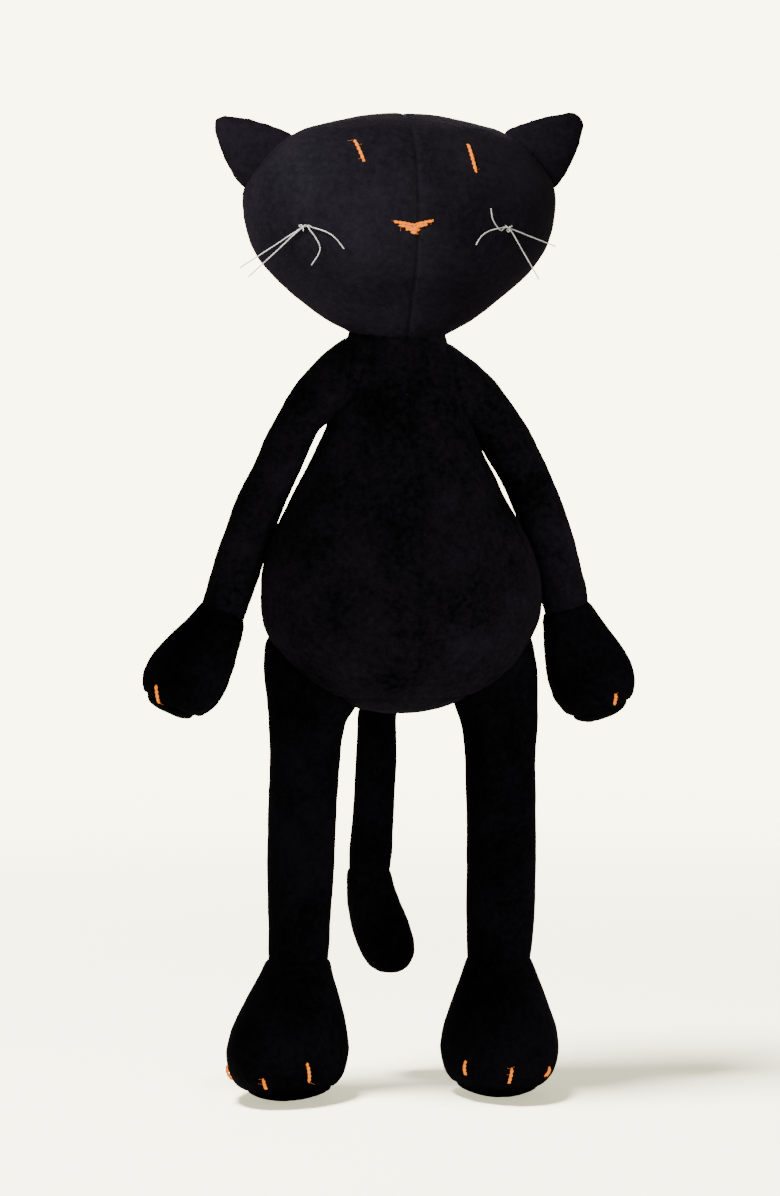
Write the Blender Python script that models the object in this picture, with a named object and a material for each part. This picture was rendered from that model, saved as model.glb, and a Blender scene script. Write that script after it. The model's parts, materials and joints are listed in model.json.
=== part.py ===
"""A long-limbed soft toy cat, as the cut, stuffed and sewn pieces that a maker joins.

Metres, +Z up. The toy faces -Y and stands on its two soles at Z = 0. Left is -X, the left hand side
of somebody who looks at its face. Each cover is the thin cloth outside a stuffing, with a seam
clearance between neighbours. Every limb hangs on a ball of stuffing that turns in a hollow of the
piece above or below it, so nothing meets when a joint turns.
"""

import math

import bmesh
import bpy
from mathutils import Matrix, Vector

# Clearances and cloth
CLOTH = 0.0010
SEAM_GAP = 0.0005
LOFT_GAP = 0.0004  # between a cover's inside and its stuffing
SOCKET_GAP = 0.0007

# The whole toy: where its middle stands in the frame, so that the box's middle is the origin
MIDDLE = Vector((0.0042, -0.0065, 0.0))

# Head: half sizes about its widest level, which is HEAD_RISE above the neck joint
NECK_Z = 0.3845
HEAD_WIDE = 0.0785
HEAD_DEEP = 0.0500
HEAD_UP = 0.0452
HEAD_DOWN = 0.0685
HEAD_RISE = 0.0690
CROWN_POWER = 2.3
CHIN_POWER = 1.9

# Torso: height, half width and half depth of a few levels, from the neck to the base
TORSO = [
    (0.3805, 0.0195, 0.0175),
    (0.3740, 0.0260, 0.0215),
    (0.3400, 0.0385, 0.0305),
    (0.3010, 0.0540, 0.0420),
    (0.2600, 0.0700, 0.0515),
    (0.2420, 0.0700, 0.0520),
    (0.2240, 0.0600, 0.0465),
    (0.2080, 0.0425, 0.0345),
    (0.1985, 0.0235, 0.0200),
    (0.1965, 0.0140, 0.0120),
]
BASE_SEAM_Z = 0.2035
PELLET_TOP_Z = 0.2260

# Arms: the shoulder, the sleeve's middle line below it, and the radii
SHOULDER = Vector((0.0408, 0.0, 0.3655))
ARM_LINE = [(0, 0, 0), (0.0140, 0.002, -0.0280), (0.0322, 0.006, -0.0650), (0.0500, 0.009, -0.1190)]
ARM_RADIUS = 0.0112
WRIST_RADIUS = 0.0119
ARM_BALL = 0.0110
ARM_SPREAD = {-1: 1.0, 1: 0.91}
PAW_LEAN = {-1: math.radians(23), 1: math.radians(14)}
PAW_TURN = {-1: math.radians(115), 1: math.radians(88)}

# Legs: hip and ankle, and the radii
HIP = Vector((0.0500, 0.0040, 0.1910))
ANKLE_Z = 0.0690
ANKLE_X = {-1: 0.0536, 1: 0.0498}
LEG_RADIUS = 0.0176
LEG_BALL = 0.0174
ANKLE_RADIUS = 0.0158
ANKLE_BALL = 0.0152
FOOT_TURN = {-1: math.radians(30), 1: math.radians(4)}

# A mitt is a hand's or a foot's cover: level under its joint, half width, front and back
FOOT = [
    (-0.0690, 0.0135, 0.0330, 0.0120),
    (-0.0655, 0.0195, 0.0395, 0.0160),
    (-0.0590, 0.0256, 0.0455, 0.0200),
    (-0.0530, 0.0284, 0.0485, 0.0220),
    (-0.0440, 0.0297, 0.0495, 0.0230),
    (-0.0340, 0.0284, 0.0465, 0.0225),
    (-0.0220, 0.0248, 0.0360, 0.0210),
    (-0.0110, 0.0208, 0.0255, 0.0195),
    (-0.0040, 0.0188, 0.0195, 0.0185),
]
FOOT_SEAM = -0.0640
FOOT_RIM = -0.0065
HAND = [
    (-0.0590, 0.0070, 0.0090, 0.0070),
    (-0.0570, 0.0115, 0.0145, 0.0115),
    (-0.0520, 0.0165, 0.0205, 0.0155),
    (-0.0440, 0.0196, 0.0240, 0.0180),
    (-0.0340, 0.0192, 0.0232, 0.0178),
    (-0.0230, 0.0166, 0.0190, 0.0160),
    (-0.0130, 0.0138, 0.0145, 0.0138),
    (-0.0040, 0.0132, 0.0132, 0.0132),
]
HAND_SEAM = -0.0545
HAND_RIM = -0.0060

# Tail
TAIL_ROOT = Vector((-0.001, 0.0495, 0.2190))
TAIL_LINE = [(0, 0, 0), (-0.0040, 0.002, -0.0360), (-0.0080, 0.002, -0.0850), (-0.0088, 0.001, -0.1100)]
TAIL_RADIUS = 0.0100
TAIL_BALL = 0.0095
TAIL_LEAN = math.radians(-11)
TAIL_TIP = [  # level under the tip's joint and radius
    (-0.0480, 0.0040),
    (-0.0455, 0.0085),
    (-0.0380, 0.0135),
    (-0.0270, 0.0146),
    (-0.0150, 0.0130),
    (-0.0045, 0.0112),
]
TAIL_RIM = -0.0050
SLEEVE_REACH = 0.55  # how far past a ball's middle a sleeve ends, as a share of the ball's radius

# Ears, in the plane of the head's side seam: inner and outer end of the base, and the tip
EAR_INNER = Vector((0.0535, 0, 0.1045))
EAR_OUTER = Vector((0.0785, 0, 0.0765))
EAR_TIP = Vector((0.0915, 0, 0.1115))
EAR_GAP = 0.0012
EAR_PIVOT = (EAR_INNER + EAR_OUTER) / 2 + Vector((0.0020, 0, 0.0020))
EAR_TIP_ROUND = [Vector((0.0008, 0, -0.0045)), Vector((0, 0, -0.0008)), Vector((-0.0050, 0, 0.0008))]
EAR_OUTER_HOLLOW = Vector((-0.0004, 0, 0))
EAR_INNER_BULGE = Vector((0, 0, 0.0022))
EAR_PUFF = [(1.0, 0.0010), (0.74, 0.0018), (0.55, 0.0007)]  # each step's share of the outline, and its rise
EAR_HEART = Vector((0.0065, 0, 0.0065))

# Stitches, whiskers and threads. A place on the face is its distance across and its height in the head
YARN_RADIUS = 0.0009
YARN_GAP = 0.0004
EYE_STITCH = {"left": ((-0.0300, 0.1005), (-0.0238, 0.0885)), "right": ((0.0285, 0.0995), (0.0328, 0.0840))}
EYE_STEPS = 4
NOSE_TOP = 0.0635
NOSE_TALL = 0.0075
NOSE_HALF = 0.0100
NOSE_NARROWING = 0.85
NOSE_THICK = 0.0016
NOSE_ROWS = 4
CLAW_LEVELS = (0.0165, 0.0125, 0.0090, 0.0060)  # heights over the mitt's lowest level
CLAW_LIFT = 0.0002
NYLON_RADIUS = 0.0005
KNOT_RADIUS = 0.0013
WHISKER_LIFT = (0.0010, 0.0031)  # how far the two strands stand off the cheek where they are tied
WHISKER_RISE = 0.0007  # how much further each bend of the inner end stands off
WHISKER_BACK = 0.42
WHISKER_REACH = 1.2
# Where each cheek's knot is, then for each strand its outward run and the bends of its inner end
WHISKER_KNOT = {"left": (-0.0551, 0.0572), "right": (0.0503, 0.0568)}
WHISKERS = {
    "left": [
        ((0.0236, -0.0134), [(0.0050, -0.0002), (0.0125, -0.0025), (0.0170, -0.0055), (0.0208, -0.0099)]),
        ((0.0203, -0.0180), [(0.0037, -0.0015), (0.0081, -0.0086), (0.0078, -0.0130), (0.0047, -0.0191)]),
    ],
    "right": [
        ((0.0197, -0.0067), [(0.0040, 0.0000), (0.0098, -0.0012), (0.0140, -0.0038), (0.0164, -0.0070)]),
        ((0.0117, -0.0203), [(0.0035, -0.0010), (0.0056, 0.0014), (0.0076, 0.0051), (0.0086, 0.0101)]),
    ],
}
THREAD_RADIUS = 0.0006
NECK_RING = 0.0120
NECK_RING_DROP = 0.0021
NECK_OPENING_DROP = 0.0005
HEAD_SHIFT = -0.0013
CLAW_FAN = {"foot": math.radians(45), "hand": math.radians(60)}

HEAD_SIDES, HEAD_LEVELS = 22, 12
TORSO_SIDES, TORSO_LEVELS = 20, 12
LIMB_SIDES, MITT_SIDES = 12, 16
DOME_STEPS = 3
SIDES = {"left": -1, "right": 1}


def clear_scene():
    for thing in list(bpy.data.objects):
        bpy.data.objects.remove(thing, do_unlink=True)


def material(name, colour, roughness, alpha=1.0):
    """One Principled finish, made once for each name."""
    made = bpy.data.materials.get(name) or bpy.data.materials.new(name)
    made.use_nodes = True
    shader = made.node_tree.nodes["Principled BSDF"]
    shader.inputs["Base Color"].default_value = (*colour, 1.0)
    shader.inputs["Roughness"].default_value = roughness
    shader.inputs["Metallic"].default_value = 0.0
    shader.inputs["Alpha"].default_value = alpha
    made.diffuse_color = (*colour, alpha)
    return made


def velour():
    return material("black_velour", (0.012, 0.010, 0.014), 0.9)


def fibre():
    return material("white_fibre", (0.80, 0.79, 0.76), 1.0)


def yarn():
    return material("orange_yarn", (0.87, 0.25, 0.05), 0.8)


def mirrored(place, side):
    """The same place on the left, where side is -1, or on the right."""
    return Vector((side * place.x, place.y, place.z))


def body(name, above, place, turn=(0, 0, 0)):
    """An empty on a joint, which everything that turns with that joint hangs from."""
    empty = bpy.data.objects.new(name, None)
    empty.empty_display_size = 0.01
    empty.parent = above
    empty.location = place
    empty.rotation_euler = turn
    bpy.context.scene.collection.objects.link(empty)
    return empty


def piece(name, mesh, finish, above):
    """One named sub-part with its finish, hung from its body's empty."""
    made = bpy.data.objects.new(name, mesh)
    mesh.materials.clear()
    mesh.materials.append(finish)
    mesh.shade_smooth()
    mesh.set_sharp_from_angle(angle=math.radians(50))
    made.parent = above
    bpy.context.scene.collection.objects.link(made)
    return made


def to_mesh(shape, name):
    """Ends a closed shape as a mesh whose faces point out."""
    bmesh.ops.recalc_face_normals(shape, faces=shape.faces)
    if shape.calc_volume(signed=True) < 0:
        bmesh.ops.reverse_faces(shape, faces=shape.faces)
    mesh = bpy.data.meshes.new(name)
    shape.to_mesh(mesh)
    shape.free()
    return mesh


# Forms: closed skins that covers are cut from and stuffings fill


def smooth_line(points, steps):
    """A curve through a few points: steps pieces between each two, after Catmull and Rom."""
    knots = [Vector(p) for p in points]
    knots = [2 * knots[0] - knots[1], *knots, 2 * knots[-1] - knots[-2]]
    line = []
    for a, b, c, d in zip(knots, knots[1:], knots[2:], knots[3:]):
        for step in range(steps):
            t = step / steps
            line.append(
                0.5 * (2 * b + (c - a) * t + (2 * a - 5 * b + 4 * c - d) * t**2
                       + (3 * b - a - 3 * c + d) * t**3)
            )
    return [*line, knots[-2]]


def ring(centre, wide, deep, along=Vector((0, 0, 1))):
    """The matrix that lays a unit circle across a direction, wide along X and deep along Y."""
    forward = along.normalized()
    side = (Vector((1, 0, 0)) - forward * forward.x).normalized()
    back = forward.cross(side)
    turn = Matrix((side * wide, back * deep, forward)).transposed().to_4x4()
    return Matrix.Translation(centre) @ turn


def loft(name, rings, sides):
    """A closed skin over rings, from first to last, with a flat face on each end."""
    shape = bmesh.new()
    loops = []
    for place in rings:
        made = bmesh.ops.create_circle(shape, cap_ends=False, segments=sides, radius=1, matrix=place)
        loops.append(list({edge for vert in made["verts"] for edge in vert.link_edges}))
    for low, high in zip(loops, loops[1:]):
        bmesh.ops.bridge_loops(shape, edges=low + high)
    for end in (loops[0], loops[-1]):
        bmesh.ops.edgeloop_fill(shape, edges=end)
    return to_mesh(shape, name)


def dome(centre, radius, along, steps=DOME_STEPS):
    """Rings of half a ball whose pole points along a direction, from its pole to its equator."""
    found = []
    for step in range(steps):
        angle = math.radians(90) * (step + 0.45) / steps
        middle = centre + along.normalized() * radius * math.cos(angle)
        found.append(ring(middle, radius * math.sin(angle), radius * math.sin(angle), -along))
    return found


def limb_form(name, line, ball, radius, far_radius, far_ball):
    """A stuffed tube along a line, with a ball's half at each end."""
    rings = dome(line[0], ball, line[0] - line[1])
    last = len(line) - 1
    for count, point in enumerate(line):
        along = line[min(count + 1, last)] - line[max(count - 1, 0)]
        share = count / last
        wide = radius + (far_radius - radius) * share
        wide = ball if count == 0 else far_ball if count == last else wide
        rings.append(ring(point, wide, wide, along))
    far = dome(line[-1], far_ball, line[-1] - line[-2])
    for place in reversed(far):
        middle = place.to_translation()
        wide = place.col[0].length
        rings.append(ring(middle, wide, wide, line[-1] - line[-2]))
    return loft(name, rings, LIMB_SIDES)


def mitt_form(name, levels):
    """A hand's or foot's round form, from rings stacked under its joint."""
    rings = []
    for height, wide, front, back in levels:
        middle = Vector((0, (back - front) / 2, height))
        rings.append(ring(middle, wide, (front + back) / 2))
    return loft(name, rings, MITT_SIDES)


def torso_form():
    levels = smooth_line(TORSO, 1)
    rings = [ring(Vector((0, 0, height)), wide, deep) for height, wide, deep in levels]
    return loft("torso", rings, TORSO_SIDES)


def head_point(direction):
    """Where a ray from the head's middle leaves it: fuller at the crown, narrower at the chin."""
    flat = math.hypot(direction.x / HEAD_WIDE, direction.y / HEAD_DEEP)
    power = CROWN_POWER if direction.z > 0 else CHIN_POWER
    tall = abs(direction.z) / (HEAD_UP if direction.z > 0 else HEAD_DOWN)
    return direction * (flat**power + tall**power) ** (-1 / power)


def face_point(across, height, proud=0.0):
    """The place on the front of the head at a distance across and a height over the neck joint."""
    rise = height - HEAD_RISE
    power = CROWN_POWER if rise > 0 else CHIN_POWER
    tall = abs(rise) / (HEAD_UP if rise > 0 else HEAD_DOWN)
    flat = (1 - tall**power) ** (1 / power)
    deep = HEAD_DEEP * math.sqrt(flat**2 - (across / HEAD_WIDE) ** 2)
    outward = Vector((across / HEAD_WIDE**2, -deep / HEAD_DEEP**2, rise / HEAD_DOWN**2)).normalized()
    return Vector((across, -deep, height)) + outward * proud


def head_form():
    shape = bmesh.new()
    bmesh.ops.create_uvsphere(shape, u_segments=HEAD_SIDES, v_segments=HEAD_LEVELS, radius=1)
    for vert in shape.verts:
        vert.co = head_point(vert.co) + Vector((0, 0, HEAD_RISE))
    return to_mesh(shape, "head")


# Covers and stuffings


def cover(name, form, cuts, above, finish=None):
    """A cut piece of cloth: a form's skin without what lies past each plane, made thick inwards."""
    shape = bmesh.new()
    shape.from_mesh(form)
    for point, away in cuts:
        everything = [*shape.verts, *shape.edges, *shape.faces]
        bmesh.ops.bisect_plane(
            shape, geom=everything, dist=1e-6, plane_co=point, plane_no=away, clear_outer=True
        )
    bmesh.ops.remove_doubles(shape, verts=shape.verts, dist=SEAM_GAP)
    mesh = bpy.data.meshes.new(name)
    shape.to_mesh(mesh)
    shape.free()
    made = piece(name, mesh, finish or velour(), above)
    thicken = made.modifiers.new("cloth", "SOLIDIFY")
    thicken.thickness = CLOTH
    thicken.offset = -1
    return made


def stuffing(name, form, above, cuts=(), depth=CLOTH + LOFT_GAP, finish=None):
    """What fills a form inside its cover, with a flat face where a plane cuts it off."""
    shape = bmesh.new()
    shape.from_mesh(form)
    shape.normal_update()
    inward = [(vert, vert.normal * depth) for vert in shape.verts]
    for vert, step in inward:
        vert.co -= step
    for point, away in cuts:
        everything = [*shape.verts, *shape.edges, *shape.faces]
        cut = bmesh.ops.bisect_plane(
            shape, geom=everything, dist=1e-6, plane_co=point, plane_no=away, clear_outer=True
        )
        rim = [part for part in cut["geom_cut"] if isinstance(part, bmesh.types.BMEdge)]
        bmesh.ops.edgeloop_fill(shape, edges=rim)
    return piece(name, to_mesh(shape, name), finish or fibre(), above)


def hollow(made, place, radius, above):
    """Cuts the hollow that a limb's ball turns in."""
    shape = bmesh.new()
    bmesh.ops.create_uvsphere(shape, u_segments=16, v_segments=10, radius=radius)
    cutter = bpy.data.objects.new(f"{made.name}_hollow", to_mesh(shape, "hollow"))
    cutter.parent = above
    cutter.location = place
    cutter.hide_render = True
    cutter.display_type = "WIRE"
    bpy.context.scene.collection.objects.link(cutter)
    cut = made.modifiers.new("hollow", "BOOLEAN")
    cut.operation = "DIFFERENCE"
    cut.object = cutter


def strand(name, line, radius, finish, above, knot=None):
    """Yarn, thread or nylon along a line, with a round knot on it if it is tied there."""
    curve = bpy.data.curves.new(name, "CURVE")
    curve.dimensions = "3D"
    curve.bevel_depth = radius
    curve.bevel_resolution = 1
    curve.use_fill_caps = True
    spline = curve.splines.new("POLY")
    spline.points.add(len(line) - 1)
    for point, place in zip(spline.points, line):
        point.co = (*place, 1)
    made = bpy.data.objects.new(name, curve)
    curve.materials.append(finish)
    made.parent = above
    bpy.context.scene.collection.objects.link(made)
    if knot is not None:
        tie_knot(made, knot, above)
    return made


def tie_knot(made, place, above):
    """Joins a small ball, the knot, to a strand."""
    curve = made.data
    mesh = bpy.data.meshes.new_from_object(made.evaluated_get(bpy.context.evaluated_depsgraph_get()))
    name = made.name
    bpy.data.objects.remove(made, do_unlink=True)
    bpy.data.curves.remove(curve)
    made = bpy.data.objects.new(name, mesh)
    made.parent = above
    bpy.context.scene.collection.objects.link(made)
    shape = bmesh.new()
    bmesh.ops.create_icosphere(shape, subdivisions=1, radius=KNOT_RADIUS)
    ball = bpy.data.objects.new(f"{name}_knot", to_mesh(shape, "knot"))
    ball.parent = above
    ball.location = place
    ball.hide_render = True
    ball.display_type = "WIRE"
    bpy.context.scene.collection.objects.link(ball)
    join = made.modifiers.new("knot", "BOOLEAN")
    join.operation = "UNION"
    join.object = ball


# The toy's parts


def make_torso(above):
    """Two front panels with a middle seam, a back, a base, the stuffing and the pellet bag."""
    form = torso_form()
    g = SEAM_GAP / 2
    over_base = (Vector((0, 0, BASE_SEAM_Z + g)), Vector((0, 0, -1)))
    to_front = (Vector((0, -g, 0)), Vector((0, 1, 0)))
    neck = (Vector((0, 0, TORSO[0][0] - NECK_OPENING_DROP)), Vector((0, 0, 1)))
    to_back = (Vector((0, g, 0)), Vector((0, -1, 0)))
    under = (Vector((0, 0, BASE_SEAM_Z - g)), Vector((0, 0, 1)))
    over_bag = (Vector((0, 0, PELLET_TOP_Z + g)), Vector((0, 0, -1)))
    under_loft = (Vector((0, 0, PELLET_TOP_Z - g)), Vector((0, 0, 1)))
    calico = material("calico", (0.72, 0.66, 0.55), 0.95)
    back = cover("torso_back", form, [over_base, to_back, neck], above)
    base = cover("torso_base", form, [under], above)
    loft_fill = stuffing("torso_stuffing", form, above, [over_bag])
    bag = stuffing("pellet_bag", form, above, [under_loft], finish=calico)
    for word, side in SIDES.items():
        middle = (Vector((side * g, 0, 0)), Vector((-side, 0, 0)))
        front = cover(f"torso_front_{word}", form, [over_base, to_front, neck, middle], above)
        for part in (front, back, loft_fill):
            hollow(part, mirrored(SHOULDER, side), ARM_BALL + SOCKET_GAP, above)
        for part in (front, back, base, bag):
            hollow(part, mirrored(HIP, side), LEG_BALL + SOCKET_GAP, above)
    for part in (back, loft_fill, bag):
        hollow(part, TAIL_ROOT, TAIL_BALL + SOCKET_GAP, above)


def make_neck(torso):
    """The strong thread that laces the head to the body: it turns, and the head nods on it."""
    thread = body("neck_thread_joint", torso, (0, 0, NECK_Z))
    shape = bmesh.new()
    bmesh.ops.create_circle(
        shape, segments=6, radius=THREAD_RADIUS,
        matrix=Matrix.Translation((NECK_RING, 0, 0)) @ Matrix.Rotation(math.radians(90), 4, "X"),
    )
    section = [*shape.verts, *shape.edges]
    bmesh.ops.spin(
        shape, geom=section, cent=(0, 0, 0), axis=(0, 0, 1), angle=math.tau, steps=20, use_merge=True
    )
    bmesh.ops.remove_doubles(shape, verts=shape.verts, dist=1e-6)
    bmesh.ops.translate(shape, verts=shape.verts, vec=(0, 0, -NECK_RING_DROP))
    dark = material("black_thread", (0.015, 0.013, 0.017), 0.7)
    piece("neck_thread", to_mesh(shape, "neck_thread"), dark, thread)
    return thread


def make_head(thread):
    head = body("head_joint", thread, (HEAD_SHIFT, 0, 0))
    form = head_form()
    g = SEAM_GAP / 2
    to_front = (Vector((0, -g, 0)), Vector((0, 1, 0)))
    for word, side in SIDES.items():
        middle = (Vector((side * g, 0, 0)), Vector((-side, 0, 0)))
        cover(f"head_front_{word}", form, [to_front, middle], head)
    cover("head_back", form, [(Vector((0, g, 0)), Vector((0, -1, 0)))], head)
    stuffing("head_stuffing", form, head)
    make_face(head)
    for word, side in SIDES.items():
        make_ear(head, word, side)


def make_face(head):
    """Embroidered eyes and nose, and two nylon whiskers knotted through each cheek."""
    proud = YARN_RADIUS + YARN_GAP
    for word, (top, low) in EYE_STITCH.items():
        line = []
        for step in range(EYE_STEPS + 1):
            share = step / EYE_STEPS
            across = top[0] + (low[0] - top[0]) * share
            height = top[1] + (low[1] - top[1]) * share
            line.append(face_point(across, height, proud))
        strand(f"eye_stitch_{word}", line, YARN_RADIUS, yarn(), head)
    make_nose(head)
    for word, side in SIDES.items():
        make_whiskers(head, word, side)


def make_whiskers(head, word, side):
    """Two stiff nylon strands tied together on the cheek, the second with the knot on it."""
    nylon = material("white_nylon", (0.86, 0.86, 0.84), 0.3)
    across, height = WHISKER_KNOT[word]
    for number, (outer, bends) in enumerate(WHISKERS[word]):
        lift = WHISKER_LIFT[number]
        knot = face_point(across, height, lift)
        reach = Vector((side * outer[0], WHISKER_BACK * outer[0], outer[1])) * WHISKER_REACH
        line = [knot + reach, knot + reach * 0.5, knot]
        for step, (inward, rise) in enumerate(bends):
            line.append(face_point(across - side * inward, height + rise, lift + WHISKER_RISE * (step + 1)))
        tied = knot if number else None
        strand(f"whisker_{word}_{number + 1}", smooth_line(line, 3), NYLON_RADIUS, nylon, head, tied)


def make_nose(head):
    """Rows of yarn laid across the nose, wide at the top and narrow below, as one raised patch."""
    shape = bmesh.new()
    tops, backs = [], []
    for row in range(NOSE_ROWS + 1):
        share = row / NOSE_ROWS
        half = NOSE_HALF * (1 - NOSE_NARROWING * share)
        height = NOSE_TOP - NOSE_TALL * share
        for sheet, proud in ((tops, YARN_GAP + NOSE_THICK), (backs, YARN_GAP)):
            across = [half * step / 2 for step in range(-2, 3)]
            sheet.append([shape.verts.new(face_point(x, height, proud)) for x in across])
    for sheet, turn in ((tops, 1), (backs, -1)):
        for upper, lower in zip(sheet, sheet[1:]):
            for a, b, c, d in zip(upper, upper[1:], lower[1:], lower):
                shape.faces.new((a, b, c, d)[::turn])
    edges = [edge for edge in shape.edges if edge.is_boundary]
    bmesh.ops.bridge_loops(shape, edges=edges)
    piece("nose_stitch", to_mesh(shape, "nose_stitch"), yarn(), head)


def ear_outline(side):
    """The ear's edge in the seam's plane: along the head with a gap, then up to a round tip."""
    middle = Vector((0, 0, HEAD_RISE))
    outline = []
    for share in (0.0, 0.25, 0.5, 0.75, 1.0):
        chord = EAR_INNER.lerp(EAR_OUTER, share) - middle
        edge = head_point(chord)
        outline.append(middle + edge + chord.normalized() * EAR_GAP)
    outline.append(EAR_OUTER.lerp(EAR_TIP, 0.5) + EAR_OUTER_HOLLOW)
    outline += [EAR_TIP + step for step in EAR_TIP_ROUND]
    outline.append(EAR_TIP.lerp(EAR_INNER, 0.5) + EAR_INNER_BULGE)
    return [mirrored(point, side) for point in outline]


def make_ear(head, word, side):
    """A front and a back panel, with nothing between them, that fold on the side seam."""
    pivot = mirrored(EAR_PIVOT, side)
    ear = body(f"ear_{word}_joint", head, pivot)
    for face, toward in (("front", -1), ("back", 1)):
        shape = bmesh.new()
        clear = Vector((0, toward * SEAM_GAP / 2, 0))
        corners = [shape.verts.new(point - pivot + clear) for point in ear_outline(side)]
        sheet = shape.faces.new(corners)
        for step, (share, rise) in enumerate(EAR_PUFF):
            raised = bmesh.ops.extrude_face_region(shape, geom=[sheet])
            if step:
                shape.faces.remove(sheet)
            moved = [part for part in raised["geom"] if isinstance(part, bmesh.types.BMVert)]
            sheet = next(part for part in raised["geom"] if isinstance(part, bmesh.types.BMFace))
            shrink = Matrix.Diagonal((share, 1, share, 1))
            about = Matrix.Translation(-mirrored(EAR_HEART, side))
            bmesh.ops.transform(shape, matrix=shrink, space=about, verts=moved)
            bmesh.ops.translate(shape, verts=moved, vec=(0, toward * rise, 0))
        piece(f"ear_{word}_{face}", to_mesh(shape, "ear"), velour(), ear)


def mitt_point(levels, azimuth, height, proud):
    """A place on a mitt's skin at an angle round from its front and at a level under its joint."""
    for low, high in zip(levels, levels[1:]):
        if low[0] <= height <= high[0]:
            break
    share = (height - low[0]) / (high[0] - low[0])
    wide, front, back = (a + (b - a) * share for a, b in zip(low[1:], high[1:]))
    middle = (back - front) / 2
    deep = (front + back) / 2
    way = Vector((math.sin(azimuth), -math.cos(azimuth), 0))
    reach = 1 / math.hypot(way.x / wide, way.y / deep)
    under = low[1] - high[1]
    outward = (way + Vector((0, 0, under / (high[0] - low[0])))).normalized()
    return Vector((0, middle, height)) + way * reach + outward * proud


def make_mitt(kind, word, above, levels, seam, rim, ball):
    """A hand or a foot: its cover, its sole, its stuffing and three claws."""
    form = mitt_form(kind, levels)
    g = SEAM_GAP / 2
    down, up = Vector((0, 0, -1)), Vector((0, 0, 1))
    top = cover(f"{kind}_{word}_top", form, [(up * (seam + g), down), (up * rim, up)], above)
    cover(f"{kind}_{word}_sole", form, [(up * (seam - g), up)], above)
    inside = stuffing(f"{kind}_{word}_stuffing", form, above, [(up * rim, up)])
    for part in (top, inside):
        hollow(part, (0, 0, 0), ball + SOCKET_GAP, above)
    low = levels[0][0]
    for number in range(3):
        azimuth = (number - 1) * CLAW_FAN[kind]
        proud = YARN_RADIUS + YARN_GAP + CLAW_LIFT
        line = [mitt_point(levels, azimuth, low + height, proud) for height in CLAW_LEVELS]
        strand(f"{kind}_{word}_claw_{number + 1}", line, YARN_RADIUS, yarn(), above)


def make_limb(name, above, line, sizes):
    """A sleeve with both ends open, over a stuffing that shows its ball at each end."""
    ball, radius, far_radius, far_ball = sizes
    form = limb_form(name, line, ball, radius, far_radius, far_ball)
    first, last = line[0] - line[1], line[-1] - line[-2]
    cuts = []
    for centre, along, reach in ((line[0], first, ball), (line[-1], last, far_ball)):
        way = along.normalized()
        cuts.append((centre + way * reach * SLEEVE_REACH, way))
    cover(f"{name}_sleeve", form, cuts, above)
    stuffing(f"{name}_stuffing", form, above)


def make_arm(torso, word, side):
    arm = body(f"arm_{word}_joint", torso, mirrored(SHOULDER, side))
    spread = side * ARM_SPREAD[side]
    line = smooth_line([(x * spread, y, z) for x, y, z in ARM_LINE], 2)
    make_limb(f"arm_{word}", arm, line, (ARM_BALL, ARM_RADIUS, WRIST_RADIUS, ARM_BALL))
    hand = body(f"hand_{word}_joint", arm, line[-1], (0, -side * PAW_LEAN[side], 0))
    turned = body(f"hand_{word}_turn", hand, (0, 0, 0), (0, 0, side * PAW_TURN[side]))
    make_mitt("hand", word, turned, HAND, HAND_SEAM, HAND_RIM, ARM_BALL)


def make_leg(torso, word, side):
    leg = body(f"leg_{word}_joint", torso, mirrored(HIP, side))
    ankle = Vector((side * (ANKLE_X[side] - HIP.x), -HIP.y, ANKLE_Z - HIP.z))
    line = [ankle * (step / 4) for step in range(5)]
    make_limb(f"leg_{word}", leg, line, (LEG_BALL, LEG_RADIUS, ANKLE_RADIUS, ANKLE_BALL))
    foot = body(f"foot_{word}_joint", leg, ankle, (0, 0, side * FOOT_TURN[side]))
    make_mitt("foot", word, foot, FOOT, FOOT_SEAM, FOOT_RIM, ANKLE_BALL)


def make_tail(torso):
    tail = body("tail_joint", torso, TAIL_ROOT)
    line = smooth_line(TAIL_LINE, 2)
    make_limb("tail", tail, line, (TAIL_BALL, TAIL_RADIUS, TAIL_RADIUS, TAIL_BALL))
    tip = body("tail_tip_joint", tail, line[-1], (0, TAIL_LEAN, 0))
    rings = [ring(Vector((0, 0, height)), wide, wide) for height, wide in TAIL_TIP]
    form = loft("tail_tip", rings, MITT_SIDES)
    up = Vector((0, 0, 1))
    for part in (
        cover("tail_tip_cover", form, [(up * TAIL_RIM, up)], tip),
        stuffing("tail_tip_stuffing", form, tip, [(up * TAIL_RIM, up)]),
    ):
        hollow(part, (0, 0, 0), TAIL_BALL + SOCKET_GAP, tip)


def build():
    clear_scene()
    cat = body("cat", None, MIDDLE)
    torso = body("torso_body", cat, (0, 0, 0))
    make_torso(torso)
    make_head(make_neck(torso))
    for word, side in SIDES.items():
        make_arm(torso, word, side)
        make_leg(torso, word, side)
    make_tail(torso)


build()
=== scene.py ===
# %% [markdown]
# # A long-limbed velour cat
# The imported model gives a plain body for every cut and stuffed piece. This lesson dresses them. Each
# cover becomes a stuffed form with its panel seams drawn in, the face and claws are worked in twisted
# yarn, and the whiskers are knotted nylon. Everything is in metres. The toy faces -Y.

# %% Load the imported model
import json
import math
import random

import bpy
from mathutils import Matrix, Vector, noise
from mathutils.bvhtree import BVHTree


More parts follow.
